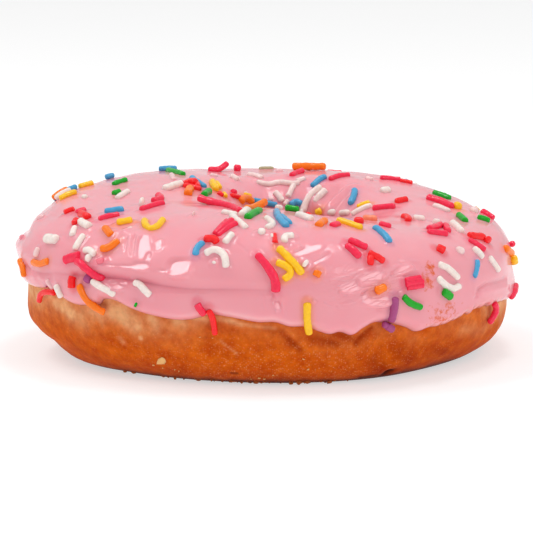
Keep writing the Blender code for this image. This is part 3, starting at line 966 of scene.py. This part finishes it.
def strand_mesh(item, rng):
    """Points and faces of one strand: a slightly uneven rod with rounded or cut ends."""
    radius, line, normals = item["radius"], item["line"], item["normals"]
    part = np.linspace(0, 1, len(line))[:, None]
    # A strand is stiff and bridges a hollow straight, unless its route has four places or more.
    over = ((line[0] + part * (line[-1] - line[0]) - line) * normals).sum(axis=1, keepdims=True)
    bridging = np.maximum(over, 0) if len(item["route"]) < 4 else 0
    depth = radius * (PROUD - VEIL_SINKS * item["veil"]) + item["lift"]
    line = line + normals * (bridging + depth + item["rise"] * part**3)
    done = line_length(line)
    end_length, fullness = CUT_END if item["cut"] else ROUND_END
    cap = min(end_length * radius / max(done[-1], 1e-6), 0.45)
    middle = np.linspace(cap, 1 - cap, max(4, int(done[-1] / RING_SPACING)))
    steps = np.concatenate([END_STEPS * cap, middle, 1 - END_STEPS[::-1] * cap])
    line, normals = (
        np.stack([np.interp(steps * done[-1], done, values[:, axis]) for axis in range(3)], axis=-1)
        for values in (line, normals)
    )
    from_end = np.clip(np.minimum(steps, 1 - steps) / cap, 0, 1)
    shape = np.maximum(1 - (1 - from_end) ** fullness, 0.0) ** (1 / fullness)
    shape = np.maximum(shape, SMALLEST_END)
    widths = radius * shape * (1 + (item["taper"] - 1) * steps)
    heading = np.gradient(line, axis=0)
    heading /= np.linalg.norm(heading, axis=1, keepdims=True)
    side = np.cross(heading, normals)
    side /= np.linalg.norm(side, axis=1, keepdims=True)
    up = np.cross(side, heading)
    angle = np.linspace(0, 2 * np.pi, SIDES, endpoint=False)
    ring = side[:, None, :] * np.cos(angle)[None, :, None] + up[:, None, :] * np.sin(angle)[None, :, None]
    points = line[:, None, :] + ring * widths[:, None, None]
    rough = 0.07 * lumps(points + rng.uniform(0, 50, 3), 1.3, 7) + 0.035 * lumps(points, 0.45, 8)
    points = points + ring * (rough * radius * 2 * shape[:, None])[..., None]
    return points.reshape(-1, 3), tube_faces(len(line), SIDES)


def far_strands(rng, shown):
    """Strands scattered over the side of the icing that is turned away."""
    bearings, alongs = rng.uniform(-180, 180, FAR_TRIES), rng.uniform(0, 165, FAR_TRIES)
    middles, normals = icing_bed(bearings, alongs), facing(icing_bed, bearings, alongs)
    radii = np.hypot(*(middles[:, :2] - ring_place).T)
    away = (normals @ towards_camera() < -0.2) & (rng.uniform(0, 1, FAR_TRIES) < radii / 50)
    taken = [item["line"][ROUTE_STEPS // 2] for item in shown]
    found = []
    for bearing, along, middle, radius in zip(bearings[away], alongs[away], middles[away], radii[away]):
        if len(found) == FAR_STRANDS:
            break
        if min(np.linalg.norm(np.array(taken) - middle, axis=1)) < FAR_SPACING:
            continue
        taken.append(middle)
        heading, length = rng.uniform(0, 2 * math.pi), rng.choice(LENGTHS, p=LENGTH_SHARES)
        bow, colour = rng.uniform(-0.13, 0.13) * length, rng.choice(COLOURS, p=COLOUR_SHARES)
        per_mm = np.array([180 / math.pi / radius, 1 / 0.4])  # degrees in each mm
        ahead = np.array([math.cos(heading), math.sin(heading)]) * per_mm
        aside = np.array([-math.sin(heading), math.cos(heading)]) * per_mm
        place = np.array([bearing, along])
        route = [place - ahead * length / 2, place + aside * bow, place + ahead * length / 2]
        spots = [tuple(spot) for spot in route]
        found.append(strand(colour, rng.uniform(0.85, 1.2), *spots, veil=rng.choice([0, 0, 0, 0.4])))
    return found


# ---- Materials ------------------------------------------------------------------------------------
#
# A pattern's scale is how many of its cells lie in a metre, so 2.5 / MM has cells 0.4 mm across.


def linear(hex_colour):
    """A colour given as sRGB hex, as linear red, green, blue and an alpha of 1."""
    parts = [int(hex_colour[i : i + 2], 16) / 255 for i in (1, 3, 5)]
    made = [v / 12.92 if v <= 0.04045 else ((v + 0.055) / 1.055) ** 2.4 for v in parts]
    return (*made, 1.0)


def add_node(tree, kind, inputs=None, **settings):
    """Adds a node with its settings. An input is a value, an output, or a node for its first output."""
    made = tree.nodes.new(kind)
    for name, value in settings.items():
        setattr(made, name, value)
    for socket, value in (inputs or {}).items():
        if isinstance(value, bpy.types.Node):
            value = value.outputs[0]
        if isinstance(value, bpy.types.NodeSocket):
            tree.links.new(value, made.inputs[socket])
        else:
            made.inputs[socket].default_value = value
    return made


def new_material(name, finish):
    """A material whose finish is the same all over: the material, its tree, its shader, and its own place."""
    material = bpy.data.materials.new(name)
    material.use_nodes = True
    tree = material.node_tree
    shader = tree.nodes["Principled BSDF"]
    for socket, value in finish.items():
        shader.inputs[socket].default_value = value
    return material, tree, shader, add_node(tree, "ShaderNodeTexCoord").outputs["Object"]


def set_icing():
    """Poured sugar icing, set firm: glossy, and so see-through at its skin that its folds glow."""
    material, tree, shader, place = new_material("set_sugar_icing", {
        "Roughness": 0.16,
        "IOR": 1.48,
        "Subsurface Weight": 0.6,
        "Subsurface Radius": (1.0, 0.45, 0.40),
        "Subsurface Scale": 1.4 * MM,
    })
    lengthwise, across, creased_share, speckled = [
        add_node(tree, "ShaderNodeAttribute", attribute_name=name).outputs["Fac"]
        for name in ("lengthwise", "across", "creased", "speckled")
    ]
    # Its pink is uneven in clouds about 11 mm across, as the dye was stirred in.
    cloud = add_node(tree, "ShaderNodeTexNoise", {"Vector": place, "Scale": 0.09 / MM, "Detail": 3.0})
    # Dye run from the strands, crust showing through thin skin, painted shade in the crease under the roll,
    # and a painted highlight over the front lip.
    dye_and_painted_light = add_node(tree, "ShaderNodeAttribute", attribute_name="dye_and_painted_light")
    # Crust dust and dye in specks 0.2 to 1 mm across, where the "speckled" value lets them show.
    dust = add_node(tree, "ShaderNodeTexNoise",
                    {"Vector": place, "Scale": 1.0 / MM, "Detail": 5.0, "Roughness": 0.7})
    filled = add_node(tree, "ShaderNodeMath", {0: speckled, 1: 0.5, 2: dust}, operation="MULTIPLY_ADD")
    shown = add_node(tree, "ShaderNodeMapRange", {"Value": filled, "From Min": 0.73, "From Max": 0.92})
    colour = linear("#EF98A4")
    for share, over in (
        (cloud, linear("#F3A8B0")),
        (dye_and_painted_light.outputs["Alpha"], dye_and_painted_light.outputs["Color"]),
        (shown, linear("#E26430")),
    ):
        colour = add_node(tree, "ShaderNodeMix", {0: share, 6: colour, 7: over}, data_type="RGBA").outputs[2]
    tree.links.new(colour, shader.inputs["Base Color"])
    # Fine raised wrinkles between plates about 4 mm long and 1 mm wide, in the skin that creased as it
    # set. The folds' own coordinates are in mm.
    run = add_node(tree, "ShaderNodeCombineXYZ", {0: lengthwise, 1: across})
    warp = add_node(tree, "ShaderNodeTexNoise", {"Vector": run, "Scale": 0.9, "Detail": 2.0})
    bent = add_node(tree, "ShaderNodeVectorMath", {0: warp.outputs["Color"], 1: (1.6, 0.8, 0.0), 2: run},
                    operation="MULTIPLY_ADD")
    plates = add_node(tree, "ShaderNodeVectorMath", {0: bent, 1: (0.26, 0.85, 0.0)}, operation="MULTIPLY")
    seams = add_node(tree, "ShaderNodeTexVoronoi", {"Vector": plates, "Scale": 1.0},
                     feature="DISTANCE_TO_EDGE", voronoi_dimensions="2D")
    ridge = add_node(tree, "ShaderNodeMapRange",
                     {"Value": seams, "From Min": 0.0, "From Max": 0.13, "To Min": 1.0, "To Max": 0.0},
                     interpolation_type="SMOOTHSTEP")
    raised = add_node(tree, "ShaderNodeMath", {0: ridge, 1: creased_share}, operation="MULTIPLY")
    bump = add_node(tree, "ShaderNodeBump", {"Height": raised, "Strength": 1.0, "Distance": 0.07 * MM})
    tree.links.new(bump.outputs[0], shader.inputs["Normal"])
    return material


def fried_crust():
    """Fried yeast dough: a dull satin crust, orange brown, mottled, pale where the fat didn't reach it, with
    painted shade along its furrows and towards its base, and painted shadow in the gaps near the base.
    """
    material, tree, shader, place = new_material("fried_crust", {
        "Roughness": 0.6,
        "Specular IOR Level": 0.04,
        "Subsurface Weight": 0.2,
        "Subsurface Radius": (1.0, 0.35, 0.12),
        "Subsurface Scale": 0.7 * MM,
    })
    pale, deep_and_painted_shade, dusty, burnt_and_painted_shadow = [
        add_node(tree, "ShaderNodeAttribute", attribute_name=name).outputs["Fac"]
        for name in ("pale", "deep_and_painted_shade", "dusty", "burnt_and_painted_shadow")
    ]
    # Mottling in patches about 2.4 mm across, which also breaks up the pale band.
    mottle = add_node(tree, "ShaderNodeTexNoise",
                      {"Vector": place, "Scale": 0.42 / MM, "Detail": 5.0, "Roughness": 0.6})
    spread = add_node(tree, "ShaderNodeMapRange", {"Value": mottle, "From Min": 0.32, "From Max": 0.68})
    patchy = add_node(tree, "ShaderNodeMapRange",
                      {"Value": mottle, "From Min": 0.35, "From Max": 0.62, "To Min": 0.78, "To Max": 1.22})
    paler = add_node(tree, "ShaderNodeMath", {0: pale, 1: patchy}, operation="MULTIPLY")
    # Specks of dry flour and sugar in cells about 0.4 mm across, of which only some show.
    cells = add_node(tree, "ShaderNodeTexVoronoi", {"Vector": place, "Scale": 2.7 / MM})
    speck = add_node(tree, "ShaderNodeMapRange",
                     {"Value": cells.outputs["Distance"], "From Min": 0.55, "From Max": 0.1})
    chosen = add_node(tree, "ShaderNodeSeparateColor", {0: cells.outputs["Color"]})
    kept = add_node(tree, "ShaderNodeMapRange",
                    {"Value": chosen, "From Min": 0.35, "From Max": 1.0, "To Min": 0.0, "To Max": 0.65})
    specks = add_node(tree, "ShaderNodeMath", {0: speck, 1: kept}, operation="MULTIPLY")
    shown = add_node(tree, "ShaderNodeMath", {0: specks, 1: dusty}, operation="MULTIPLY")
    colour = linear("#BC4602")
    # The deep and burnt colours carry painted shade along the furrows and towards the base, and painted
    # shadow in the gaps and at the very base, besides some real browning.
    for share, over in (
        (spread, "#DA660C"), (paler, "#EEB07C"), (deep_and_painted_shade, "#9A2E00"), (shown, "#ECA878"), (burnt_and_painted_shadow, "#4C1204"),
    ):
        inputs = {0: share, 6: colour, 7: linear(over)}
        colour = add_node(tree, "ShaderNodeMix", inputs, data_type="RGBA").outputs[2]
    # The crust's grain, 0.7 mm across: about twice as coarse as the real one, so that it shows.
    grain = add_node(tree, "ShaderNodeTexNoise", {"Vector": place, "Scale": 1.4 / MM, "Detail": 3.0})
    tone = add_node(tree, "ShaderNodeMapRange",
                    {"Value": grain, "From Min": 0.35, "From Max": 0.65, "To Min": 0.95, "To Max": 1.06})
    grained = add_node(tree, "ShaderNodeMix", {0: 1.0, 6: colour, 7: tone}, data_type="RGBA",
                       blend_type="MULTIPLY")
    tree.links.new(grained.outputs[2], shader.inputs["Base Color"])
    bump = add_node(tree, "ShaderNodeBump", {"Height": grain, "Strength": 0.3, "Distance": 0.15 * MM})
    tree.links.new(bump.outputs[0], shader.inputs["Normal"])
    return material


STRAND_COLOURS = {
    "white": "#F4E6DE",
    "red": "#FA1A20",
    "rose": "#F6264E",
    "orange": "#FF7C08",
    "yellow": "#FFC61A",
    "green": "#06A816",
    "blue": "#48A2D0",
    "purple": "#A8447E",
}


def pressed_sugar(colour):
    """Sugar paste pressed into strands, dried and glazed: fine grained, satin, a little see-through."""
    material, tree, shader, place = new_material("pressed_sugar_" + colour, {
        "Roughness": 0.22,
        "Specular IOR Level": 0.4,
        "Subsurface Weight": 0.12,
        "Subsurface Radius": (1.0, 0.6, 0.5),
        "Subsurface Scale": 0.5 * MM,
    })
    # The sugar's grain, 0.5 mm across: coarser than the real one, so that it shows.
    grain = add_node(tree, "ShaderNodeTexNoise", {"Vector": place, "Scale": 1.9 / MM, "Detail": 2.0})
    tone = add_node(tree, "ShaderNodeMapRange",
                    {"Value": grain, "From Min": 0.3, "From Max": 0.7, "To Min": 0.95, "To Max": 1.08})
    coloured = add_node(tree, "ShaderNodeMix", {0: 1.0, 6: linear(STRAND_COLOURS[colour]), 7: tone},
                        data_type="RGBA", blend_type="MULTIPLY")
    # A film of icing over the strands that sank.
    veil = add_node(tree, "ShaderNodeAttribute", attribute_name="veil")
    inputs = {0: veil.outputs["Fac"], 6: coloured.outputs[2], 7: linear("#F5A3AF")}
    veiled = add_node(tree, "ShaderNodeMix", inputs, data_type="RGBA")
    tree.links.new(veiled.outputs[2], shader.inputs["Base Color"])
    bump = add_node(tree, "ShaderNodeBump", {"Height": grain, "Strength": 0.6, "Distance": 0.07 * MM})
    tree.links.new(bump.outputs[0], shader.inputs["Normal"])
    return material


def dry_crumb():
    """Crumbs of crust, broken off and dry: rough, matt and uneven in colour."""
    material, tree, shader, place = new_material("dry_crumb", {"Roughness": 0.8, "Specular IOR Level": 0.2})
    tone = add_node(tree, "ShaderNodeTexNoise", {"Vector": place, "Scale": 0.7 / MM, "Detail": 2.0})
    pale = add_node(tree, "ShaderNodeAttribute", attribute_name="pale").outputs["Fac"]
    colour = linear("#7A3210")
    for share, over in ((tone, "#B4622C"), (pale, "#ECB878")):
        inputs = {0: share, 6: colour, 7: linear(over)}
        colour = add_node(tree, "ShaderNodeMix", inputs, data_type="RGBA").outputs[2]
    tree.links.new(colour, shader.inputs["Base Color"])
    return material


def pale_floor():
    """White acrylic board, sanded matt and lit a little from below, which keeps the shadow pale."""
    material, tree, shader, place = new_material("back_lit_white_acrylic", {
        "Base Color": linear("#BEBEBE"),
        "Roughness": 0.9,
        "Specular IOR Level": 0.1,
        "Emission Color": linear("#FFFFFF"),
        "Emission Strength": 0.55,
    })
    return material


# ---- The dough ------------------------------------------------------------------------------------

DOUGH_TURNS, DOUGH_STEPS = 620, 150

# Where the crust is darker towards the lower right, and where it is dusted, besides its marks: (bearing,
# along, reach round, reach along).
DARKER_LOW_RIGHT = (-40, -38, 22, 14)
DUSTY_LOW_FRONT = (-92, -38, 36, 17)
PALE_BAND = 11  # degrees along the section, under the icing's lip, over which the crust is pale
DARK_BASE_EDGE = 1.1  # mm over the base up to which the crust is darkened: partly browning, partly painted contact shadow


def stations_round(count, extra, reach):
    """Bearings once round the ring, closer together at the front."""
    stations = spread_stations(-180, 180, count + 1, lambda b: 1 + extra * bell(turned(b - FRONT), reach))
    return stations[:-1, None]


def crust_tones(bearing, along, plain):
    """How pale, darkened and dusty the crust is at points of the plain ring. The darkening is partly painted
    shade and shadow.
    """
    blotch, fine_blotch = lumps(plain, 4.0, 14), lumps(plain, 1.5, 15)
    # The band is palest on the left side, from a little past the front round to the back.
    past_front = turned(bearing + 100)
    left = np.clip(-past_front / 40, 0, 1) * np.clip((past_front + 180) / 50, 0, 1)
    band = (0.15 + 0.8 * left) * bell(icing_edges(bearing)[0] - along, PALE_BAND)
    # Painted shade: the crust is darkened towards its base. It is also darker towards the lower right.
    low = 0.55 * bell(along + 50, 9) + 0.4 * patch(bearing, along, DARKER_LOW_RIGHT)
    deep_and_painted_shade = marks(bearing, along, DEEP_MARKS_AND_FURROW_SHADE) + low + 0.15 * np.clip(blotch, 0, 1)
    # The very base is darkened: partly browning, partly painted shadow where it meets the floor.
    over_edge = np.maximum(plain[..., 2] - 0.25, 0) / (DARK_BASE_EDGE + 0.5 * lumps(plain, 3.0, 16))
    return {
        "pale": (marks(bearing, along, PALE_MARKS) + band) * (0.75 + 0.5 * blotch + 0.3 * fine_blotch),
        "deep_and_painted_shade": deep_and_painted_shade * (0.9 + 0.3 * fine_blotch),
        "burnt_and_painted_shadow": marks(bearing, along, BURNT_MARKS_AND_GAP_SHADOW) + bell(over_edge, 0.9),
        "dusty": 0.12 + 0.75 * patch(bearing, along, DUSTY_LOW_FRONT) + 0.3 * lumps(plain, 2.5, 17),
    }


def make_dough():
    bearing = stations_round(DOUGH_TURNS, 1.8, 60)
    along = spread_stations(-90, 270, DOUGH_STEPS + 1, lambda a: 1 + 2.5 * bell(a + 28, 38))[None, :-1]
    bearing, along = np.broadcast_arrays(bearing, along)
    points = ring_skin(bearing, along, dough_out(bearing, along)).reshape(-1, 3)
    piece = mesh_piece("fried_dough", points, ring_faces(DOUGH_TURNS, DOUGH_STEPS), fried_crust())
    for name, amount in crust_tones(bearing, along, ring_skin(bearing, along)).items():
        add_values(piece, name, np.clip(amount, 0, 1).ravel())
    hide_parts("dough")


# ---- The icing ------------------------------------------------------------------------------------

ICING_TURNS, ICING_OUTER_STEPS, ICING_INNER_STEPS = 610, 154, 8
CLIMB_REACH = 0.45  # mm beside a strand over which the icing climbs it
DYE_REACH = 0.55  # mm beside a strand into which its dye runs
MOST_DYE = 0.75


def icing_closeness(share):
    """How close together the icing's stations lie, most so at its lips and on its outer side."""
    sides = 2.6 * bell(share - 0.18, 0.2) + 0.6 * bell(share - 0.75, 0.2)
    return 1 + sides + 3 * bell(share, 0.03) + 3 * bell(share - 1, 0.03)


def crease_shade(bearing, along):
    """Painted shade: how much deeper pink is painted into the crease under the roll, where light goes through
    it twice.
    """
    above = along - through([(b, a) for b, a, _ in CREASE], bearing)
    depth = np.clip(through([(b, d) for b, _, d in CREASE], bearing), 0, 1)
    return 0.65 * depth**1.5 * (0.7 * np.exp(-np.abs(above) / 1.6) + 0.3 * bell(above, 6))


def thin_lip(bearing, from_lip):
    """How much the crust shows through at the lip, most so at the right, where the icing ran out thin."""
    return 0.5 * bell(turned(bearing + 37), 13) * bell(from_lip, 4.5) + 0.25 * bell(from_lip, 1.5)


def painted_lip_highlight(bearing, from_lip):
    """Painted highlight: how much paler the icing is painted just over the lip of the middle front."""
    return 0.35 * bell(turned(bearing + 97), 15) * bell(from_lip - 3.0, 1.5)


def lay_colour(dye_and_painted_light, share, colour):
    """Lays a colour over the dye and painted light, as strongly as its share."""
    share = share.ravel()
    kept = dye_and_painted_light[:, 3] * (1 - share)
    total = np.maximum(kept + share, 1e-6)
    dye_and_painted_light[:, :3] = (dye_and_painted_light[:, :3] * kept[:, None] + share[:, None] * np.array(linear(colour)[:3])) / total[:, None]
    dye_and_painted_light[:, 3] = kept + share


def beside_strands(points, items):
    """How far the icing climbs beside each strand, and the dye that runs into it there."""
    rise = np.zeros(len(points))
    dye_and_painted_light = np.zeros((len(points), 4))
    weight = np.zeros(len(points))
    for item in items:
        line, radius = item["line"], item["radius"]
        low, high = line.min(axis=0) - 3, line.max(axis=0) + 3
        near = np.flatnonzero(((points > low) & (points < high)).all(axis=1))
        if not len(near):
            continue
        away = np.linalg.norm(points[near, None, :] - line[None, ::2, :], axis=2).min(axis=1)
        bearing, along = item["route"][0]
        # The icing was wettest at the front, below the crown.
        height = 0.1 + 0.2 * bell(turned(bearing - FRONT), 60) * bell(np.maximum(along - 50, 0), 20)
        climb = height * bell(np.maximum(away - radius * 0.8, 0), CLIMB_REACH)
        rise[near] = np.maximum(rise[near], climb)
        tint, run = DYE_RUN[item["colour"]]
        strength = run * bell(np.maximum(away - radius, 0), DYE_REACH)
        dye_and_painted_light[near] += strength[:, None] * np.array(linear(tint))
        weight[near] += strength
    dye_and_painted_light[:, :3] /= np.maximum(weight, 1e-6)[:, None]
    dye_and_painted_light[:, 3] = np.clip(weight, 0, MOST_DYE)
    return rise, dye_and_painted_light


def make_icing(items):
    bearing = stations_round(ICING_TURNS, 5, 48)
    share = spread_stations(0, 1, ICING_OUTER_STEPS, icing_closeness)[None, :]
    outer_edge, inner_edge = icing_edges(bearing)
    along = outer_edge + share * (inner_edge - outer_edge)
    bearing = np.broadcast_to(bearing, along.shape)
    out = icing_out(bearing, along)
    rise, dye_and_painted_light = beside_strands(ring_skin(bearing, along, out).reshape(-1, 3), items)
    # Painted shade: deeper pink in the crease under the roll.
    lay_colour(dye_and_painted_light, crease_shade(bearing, along), "#DC5C78")
    lay_colour(dye_and_painted_light, thin_lip(bearing, along - outer_edge), "#D98668")
    # Painted highlight: a paler line just over the lip of the middle front.
    lay_colour(dye_and_painted_light, painted_lip_highlight(bearing, along - outer_edge), "#FFD2D4")
    lip = np.clip(np.minimum(along - outer_edge, inner_edge - along) / LIP, 0, 1)
    outside = ring_skin(bearing, along, out + rise.reshape(out.shape) * lip)
    back = np.linspace(1, 0, ICING_INNER_STEPS + 2)[None, 1:-1]
    inner_along = outer_edge + back * (inner_edge - outer_edge)
    inner_bearing = np.broadcast_to(bearing[:, :1], inner_along.shape)
    inside = ring_skin(inner_bearing, inner_along, swelling(inner_bearing, inner_along) - SUNK)
    points = np.concatenate([outside, inside], axis=1).reshape(-1, 3)
    steps = ICING_OUTER_STEPS + ICING_INNER_STEPS
    piece = mesh_piece("icing_skin", points, ring_faces(ICING_TURNS, steps), set_icing())
    lengthwise, across, creased_share = creased(bearing, along)
    speckled = np.clip(sum(amount * patch(bearing, along, place) for *place, amount in SPECKLED), 0, 1)
    for name, outer_values in (
        ("dye_and_painted_light", dye_and_painted_light), ("speckled", speckled), ("lengthwise", lengthwise), ("across", across),
        ("creased", creased_share),
    ):
        outer_values = outer_values.reshape(ICING_TURNS, ICING_OUTER_STEPS, -1)
        values = np.zeros((ICING_TURNS, steps, outer_values.shape[-1]))
        values[:, :ICING_OUTER_STEPS] = outer_values
        add_values(piece, name, values.reshape(-1, outer_values.shape[-1]).squeeze())
    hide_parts("icing")


# ---- The strands and the crumbs -------------------------------------------------------------------

EDGE_CRUMBS = 150
CRUMBED_ARC = (-145, 200)  # bearings between which the base's edge has crumbs
FRONT_ARC = (-128, -66)  # bearings between which most of them lie
BARE_ARC = (-66, -5)  # bearings between which there are none
ANYWHERE_SHARE = 0.45  # share of them that lies anywhere on the crumbed arc
CRUMB_SIZES = [0.3, 0.45, 0.7, 1.0]
CRUMB_SHARES = [0.45, 0.35, 0.15, 0.05]
FLAKE_THICKNESS = 0.3


def make_strands(items, rng):
    """One piece for each colour."""
    for colour in COLOURS:
        alike = [item for item in items if item["colour"] == colour]
        parts = [strand_mesh(item, rng) for item in alike]
        points, faces = joined(parts)
        piece = mesh_piece("strands_" + colour, points, faces, pressed_sugar(colour))
        counts = [len(part) for part, _ in parts]
        add_values(piece, "veil", np.repeat([item["veil"] for item in alike], counts))


def lump_of_crumb(rng, size):
    """Points and faces of one uneven crumb, about that size across."""
    rings, sides = 5, 8
    turn = np.linspace(0, 2 * np.pi, sides, endpoint=False)[None, :]
    rise = np.linspace(-0.92, 0.92, rings)[:, None] * np.pi / 2
    flat = np.cos(rise)
    ball = np.stack([flat * np.cos(turn), flat * np.sin(turn), np.sin(rise) + 0 * turn], axis=-1)
    stretch = rng.uniform(0.6, 1.2, 3)
    bumpy = 1 + 0.35 * lumps(ball + rng.uniform(0, 90, 3), 0.9, 21)
    points = (ball * bumpy[..., None] * stretch * size / 2).reshape(-1, 3)
    return points, [face[::-1] for face in tube_faces(rings, sides)]


def flake(rng, bearing, along, length, width, swing):
    """Points and faces of a flat flake that lies on the crust."""
    points, faces = lump_of_crumb(rng, 1.0)
    here, there = np.array([bearing]), np.array([along])
    middle = ring_skin(here, there, dough_out(here, there) + FLAKE_THICKNESS * 0.3)[0]
    normal = facing(ring_skin, here, there)[0]
    level = np.cross([0, 0, 1], normal)
    level /= np.linalg.norm(level)
    upright = np.cross(normal, level)
    turn = math.radians(swing)
    long_way = level * math.cos(turn) + upright * math.sin(turn)
    short_way = upright * math.cos(turn) - level * math.sin(turn)
    narrowing = 1 - 0.5 * points[:, :1]
    placed = points[:, :1] * length * long_way + points[:, 1:2] * width * narrowing * short_way
    return middle + placed + points[:, 2:] * FLAKE_THICKNESS * normal, faces


def make_crumbs(rng):
    """Crumbs along the base's edge, and flakes on the dough's side."""
    parts = []
    for _ in range(EDGE_CRUMBS):
        bearing = rng.uniform(*(CRUMBED_ARC if rng.uniform() < ANYWHERE_SHARE else FRONT_ARC))
        if BARE_ARC[0] < bearing < BARE_ARC[1]:
            continue
        along = along_at_height(bearing, rng.uniform(0.1, 0.8), 1)
        spot = ring_skin(np.array([bearing]), np.array([along]), rng.uniform(-0.2, 0.05))[0]
        points, faces = lump_of_crumb(rng, rng.choice(CRUMB_SIZES, p=CRUMB_SHARES))
        points = points + spot
        points[:, 2] = np.maximum(points[:, 2], 0.02)
        parts.append((points, faces))
    paleness = [0.0] * len(parts)
    for *place_and_size, swing, pale in FLAKES:
        parts.append(flake(rng, *place_and_size, swing))
        paleness.append(pale)
    points, faces = joined(parts)
    piece = mesh_piece("crumbs", points, faces, dry_crumb())
    add_values(piece, "pale", np.repeat(paleness, [len(part) for part, _ in parts]))


# ---- Floor, light and camera ----------------------------------------------------------------------

FLOOR_HALF = 4.0  # metres
ROOM_LIGHT = 0.66


def make_floor():
    mesh = bpy.data.meshes.new("floor")
    corners = [(x * FLOOR_HALF, y * FLOOR_HALF, 0) for x, y in ((-1, -1), (1, -1), (1, 1), (-1, 1))]
    mesh.from_pydata(corners, [], [(0, 1, 2, 3)])
    mesh.materials.append(pale_floor())
    floor = bpy.data.objects.new("floor", mesh)
    bpy.context.scene.collection.objects.link(floor)


def softbox(name, stand, width, height, turn, watts):
    """A rectangular area light that stands there and looks at the doughnut."""
    data = bpy.data.lights.new(name, "AREA")
    data.shape = "RECTANGLE"
    data.size, data.size_y = width, height
    data.energy = watts
    light = bpy.data.objects.new(name, data)
    light.location = stand
    light.rotation_euler = Vector(stand).to_track_quat("Z", "Y").to_euler()
    light.rotation_euler.rotate_axis("Z", math.radians(turn))
    bpy.context.scene.collection.objects.link(light)


def make_light():
    world = bpy.data.worlds.new("studio")
    world.use_nodes = True
    background = world.node_tree.nodes["Background"]
    background.inputs["Color"].default_value = linear("#FFFFFF")
    background.inputs["Strength"].default_value = ROOM_LIGHT
    bpy.context.scene.world = world
    for name, settings in SOFTBOXES.items():
        softbox(name, *settings)


def make_camera():
    data = bpy.data.cameras.new("camera")
    data.lens, data.sensor_width = LENS, SENSOR
    data.clip_start, data.clip_end = 0.01, 20.0
    camera = bpy.data.objects.new("camera", data)
    camera.location = Vector(eye_place()) * MM
    camera.rotation_euler = (math.radians(90 - CAMERA_ELEVATION), 0, 0)
    bpy.context.scene.collection.objects.link(camera)
    bpy.context.scene.camera = camera


ring_place = find_ring_place()
chance = np.random.default_rng(7)
lay(STRANDS)
hidden_strands = far_strands(chance, STRANDS)
lay(hidden_strands)
all_strands = STRANDS + hidden_strands
make_dough()
make_icing(all_strands)
make_strands(all_strands, chance)
make_crumbs(chance)
make_floor()
make_light()
make_camera()
bpy.context.scene.view_settings.view_transform = "Standard"
